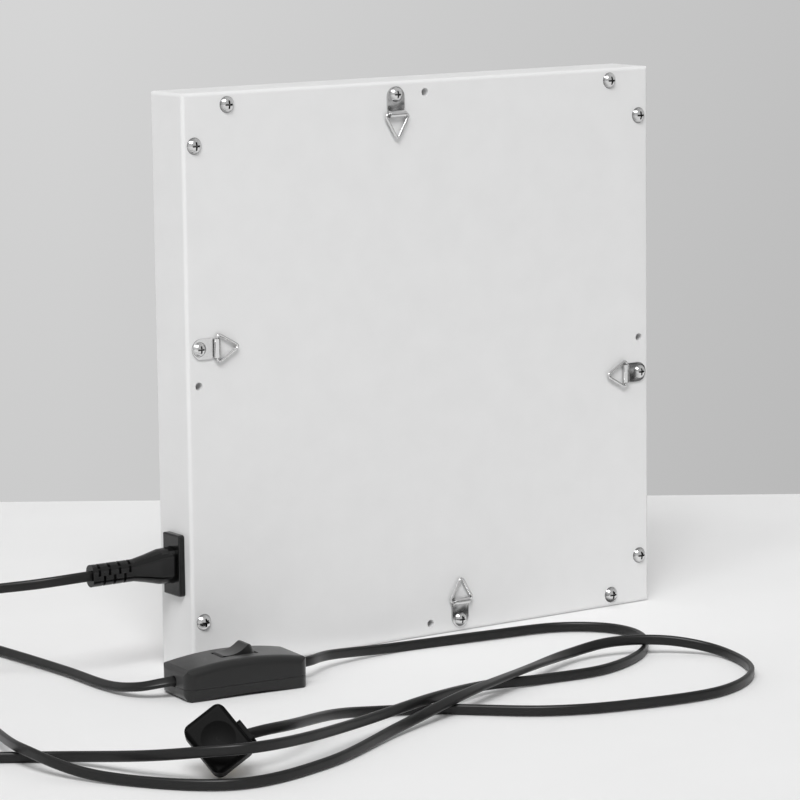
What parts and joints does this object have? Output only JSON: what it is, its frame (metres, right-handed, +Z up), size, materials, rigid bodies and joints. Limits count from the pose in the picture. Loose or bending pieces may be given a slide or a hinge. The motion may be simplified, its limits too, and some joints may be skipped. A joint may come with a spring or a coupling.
{
  "type": "red light therapy panel",
  "caption": "Square light panel with domed lamps in front, hinged wire hangers behind, a side inlet and a flat cord with an in-line rocker switch and plug.",
  "frame": {"origin": "centre of the face that the panel stands on", "axes": "+Z up; the lamps face -Y; the inlet is on the +X side"},
  "size_m": [0.5314, 0.3797, 0.31],
  "materials": {
    "white_plastic": "satin",
    "white_board": "satin",
    "red_lens": "gloss",
    "clear_lens": "gloss",
    "plated_steel": "satin",
    "green_board": "satin",
    "yellow_tape": "satin",
    "blue_sleeve": "gloss",
    "copper": "satin",
    "black_plastic": "satin",
    "black_cord": "satin",
    "brass": "satin",
    "lead_sleeve": "satin"
  },
  "bodies": {
    "panel": {"rear_housing": "white_plastic", "front_bezel": "white_plastic", "light_board": "white_board", "red_lamps": "red_lens", "infrared_lamps": "clear_lens", "cover_screws": "plated_steel", "board_screws": "plated_steel", "driver_board": "green_board", "driver_screws": "plated_steel", "driver_transformer": "yellow_tape", "driver_capacitors": "blue_sleeve", "driver_choke": "copper", "driver_chips": "black_plastic", "inlet_body": "black_plastic", "inlet_pins": "plated_steel", "inlet_leads": "lead_sleeve", "light_leads": "lead_sleeve", "strap_top": "plated_steel", "strap_left": "plated_steel", "strap_right": "plated_steel", "strap_bottom": "plated_steel", "hanger_screws": "plated_steel", "connector_body": "black_plastic", "connector_contacts": "brass", "cord_to_switch": "black_cord", "switch_base": "black_plastic", "switch_cover": "black_plastic", "rocker_pin": "plated_steel", "fixed_contacts": "brass", "detent_spring": "plated_steel", "switch_wires": "lead_sleeve", "switch_screws": "plated_steel", "cord_to_plug": "black_cord", "plug_body": "black_plastic", "plug_blades": "brass"},
    "ring_top_body": {"ring_top": "plated_steel"},
    "ring_left_body": {"ring_left": "plated_steel"},
    "ring_right_body": {"ring_right": "plated_steel"},
    "ring_bottom_body": {"ring_bottom": "plated_steel"},
    "rocker_body": {"rocker": "black_plastic", "contact_bridge": "copper"}
  },
  "joints": [
    {"name": "ring_top_hinge", "type": "hinge", "parent": "panel", "child": "ring_top_body", "pos_m": [0.0198, 0.01788, 0.2923], "axis": [1, 0, 0], "range_deg": [0, 160]},
    {"name": "ring_left_hinge", "type": "hinge", "parent": "panel", "child": "ring_left_body", "pos_m": [0.1373, 0.01788, 0.1748], "axis": [0, 0, -1], "range_deg": [0, 160]},
    {"name": "ring_right_hinge", "type": "hinge", "parent": "panel", "child": "ring_right_body", "pos_m": [-0.1373, 0.01788, 0.1352], "axis": [0, 0, 1], "range_deg": [0, 160]},
    {"name": "ring_bottom_hinge", "type": "hinge", "parent": "panel", "child": "ring_bottom_body", "pos_m": [-0.0198, 0.01788, 0.0177], "axis": [-1, 0, 0], "range_deg": [0, 160]},
    {"name": "rocker_hinge", "type": "hinge", "parent": "panel", "child": "rocker_body", "pos_m": [0.1555, 0.0583, 0.0162], "axis": [-0.0993, -0.9951, 0], "range_deg": [0, 36]}
  ]
}
